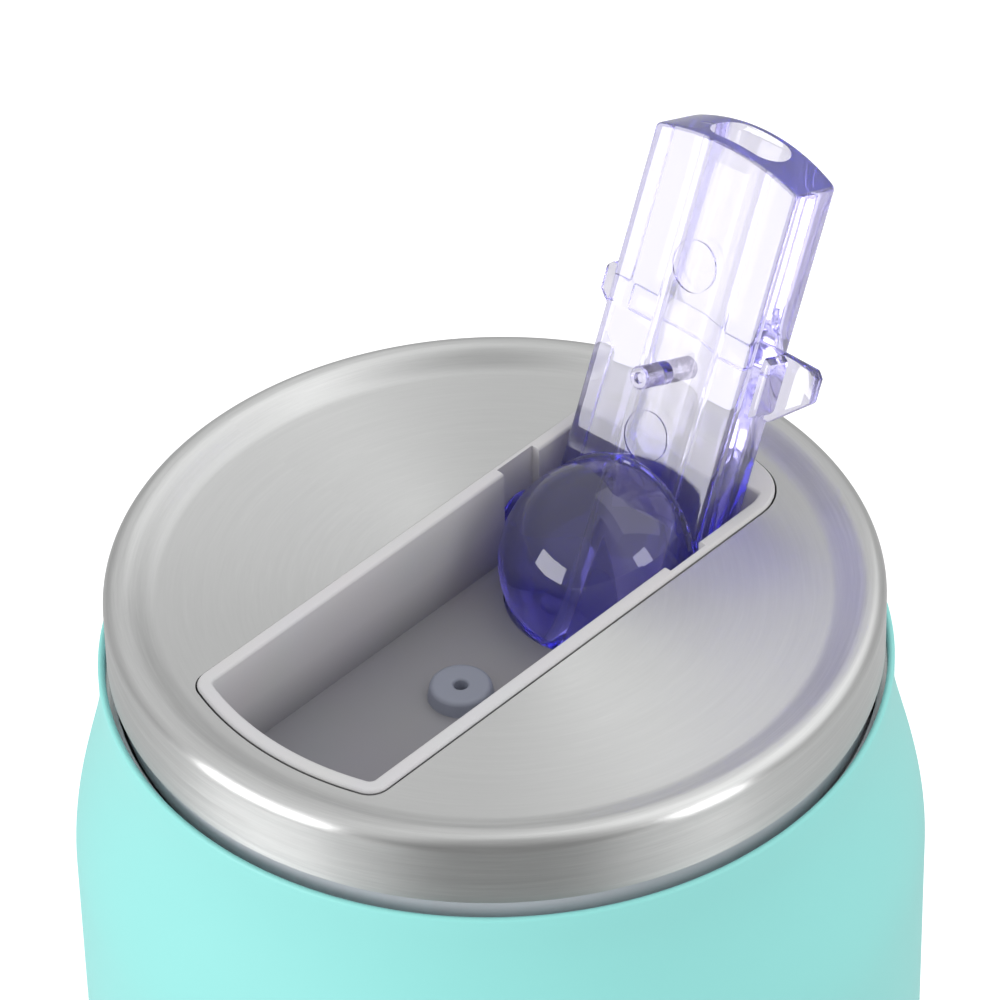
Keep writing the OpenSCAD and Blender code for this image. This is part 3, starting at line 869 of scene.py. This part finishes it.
def stage_floor():
    """A pale sheet just under the bottle's foot."""
    size = 4.0
    gap = 0.0002
    mesh = bpy.data.meshes.new("studio_floor")
    corners = [(-size, -size), (size, -size), (size, size), (-size, size)]
    mesh.from_pydata([(x, y, -gap) for x, y in corners], [], [(0, 1, 2, 3)])
    obj = bpy.data.objects.new("studio_floor", mesh)
    bpy.context.scene.collection.objects.link(obj)
    m = Nodes("studio_floor")
    m.set(Base_Color=(0.7, 0.7, 0.7, 1), Roughness=0.9, Specular_IOR_Level=0.1)
    # seen directly or through clear plastic, the floor is a bright sheet lit from below
    glow = m.add("ShaderNodeEmission", {"Color": (1, 1, 1, 1), "Strength": 0.62})
    rays = m.add("ShaderNodeLightPath")
    seen = m.add("ShaderNodeMath", operation="MAXIMUM")
    m.join(rays, "Is Camera Ray", seen, 0)
    m.join(rays, "Is Transmission Ray", seen, 1)
    lit = m.add("ShaderNodeAddShader")
    m.join(m.shader, "BSDF", lit, 0)
    m.join(glow, "Emission", lit, 1)
    blend = m.add("ShaderNodeMixShader")
    m.join(seen, "Value", blend, "Fac")
    m.tree.links.new(m.shader.outputs["BSDF"], blend.inputs[1])
    m.tree.links.new(lit.outputs["Shader"], blend.inputs[2])
    shade_off = m.add("ShaderNodeMixShader")
    black = m.add("ShaderNodeEmission", {"Strength": 0.0})
    dark = dark_side(m.tree, m.add("ShaderNodeTexCoord"), "Object")
    m.join(dark, "Value", shade_off, "Fac")
    m.tree.links.new(blend.outputs["Shader"], shade_off.inputs[1])
    m.tree.links.new(black.outputs["Emission"], shade_off.inputs[2])
    m.tree.links.new(shade_off.outputs["Shader"], m.out.inputs["Surface"])
    mesh.materials.append(m.material)


def area_light(name, direction, size, power):
    """A softbox in a direction from the lid, facing it. Its size is in metres."""
    distance = 0.9
    data = bpy.data.lights.new(name, "AREA")
    data.shape = "RECTANGLE"
    data.size, data.size_y = size
    data.energy = power
    obj = bpy.data.objects.new(name, data)
    way = Vector(direction).normalized()
    obj.location = LIGHT_TARGET + way * distance
    obj.rotation_euler = way.to_track_quat("Z", "Y").to_euler()
    bpy.context.scene.collection.objects.link(obj)


def studio_world():
    """A soft surround that is brighter overhead."""
    world = bpy.data.worlds.new("studio")
    bpy.context.scene.world = world
    world.use_nodes = True
    tree = world.node_tree
    background = tree.nodes["Background"]
    coords = tree.nodes.new("ShaderNodeTexCoord")
    split = tree.nodes.new("ShaderNodeSeparateXYZ")
    ramp = tree.nodes.new("ShaderNodeValToRGB")
    tree.links.new(coords.outputs["Generated"], split.inputs["Vector"])
    tree.links.new(split.outputs["Z"], ramp.inputs["Fac"])
    dark = dark_side(tree, coords, "Generated")
    dimmed = tree.nodes.new("ShaderNodeMix")
    dimmed.data_type = "RGBA"
    dimmed.inputs[7].default_value = (0, 0, 0, 1)
    tree.links.new(dark.outputs["Value"], dimmed.inputs["Factor"])
    tree.links.new(ramp.outputs["Color"], dimmed.inputs[6])
    # clear plastic shows a white surround on every side
    rays = tree.nodes.new("ShaderNodeLightPath")
    through = tree.nodes.new("ShaderNodeMix")
    through.data_type = "RGBA"
    through.inputs[7].default_value = (1, 1, 1, 1)
    tree.links.new(rays.outputs["Is Transmission Ray"], through.inputs["Factor"])
    tree.links.new(dimmed.outputs[2], through.inputs[6])
    tree.links.new(through.outputs[2], background.inputs["Color"])
    # height on the unit sphere, and brightness
    stops = [(0.0, 0.5), (0.2, 0.45), (0.55, 0.72), (1.0, 0.82)]
    elements = ramp.color_ramp.elements
    elements[0].position, elements[1].position = stops[0][0], stops[-1][0]
    for position, _ in stops[1:-1]:
        elements.new(position)
    for element, (_, level) in zip(elements, stops):
        element.color = (level, level, level, 1)
    background.inputs["Strength"].default_value = 1.0


def studio_camera():
    """A long lens above the lid, turned to its azimuth, elevation and roll."""
    data = bpy.data.cameras.new("camera")
    data.lens = 234
    data.sensor_width = 36
    data.clip_start = 0.01
    camera = bpy.data.objects.new("camera", data)
    azimuth = math.radians(43.6)
    elevation = math.radians(40.07)
    roll = math.radians(-1.353)
    back = Vector(
        (
            math.sin(azimuth) * math.cos(elevation),
            -math.cos(azimuth) * math.cos(elevation),
            math.sin(elevation),
        )
    )
    level = Vector((math.cos(azimuth), math.sin(azimuth), 0))
    above = back.cross(level)
    right = level * math.cos(roll) + above * math.sin(roll)
    up = back.cross(right)
    turn = Matrix((right, up, back)).transposed()
    position = (0.28345, -0.29675, 0.53346)
    camera.matrix_world = Matrix.Translation(position) @ turn.to_4x4()
    bpy.context.scene.collection.objects.link(camera)
    bpy.context.scene.camera = camera


stage_floor()
studio_world()
area_light("softbox_top", (0.14, 0.57, 0.81), size=(1.0, 0.8), power=1.3)
area_light("softbox_front", (-0.33, -0.93, 0.16), size=(0.6, 0.5), power=3.7)
area_light("softbox_right", (0.93, 0.15, 0.3), size=(0.3, 0.6), power=1.6)
studio_camera()
bpy.context.scene.view_settings.view_transform = "Standard"
# light inside the clear plastic turns many corners before it leaves
BOUNCES = 28
bpy.context.scene.cycles.max_bounces = BOUNCES
bpy.context.scene.cycles.transmission_bounces = BOUNCES
bpy.context.scene.cycles.glossy_bounces = BOUNCES
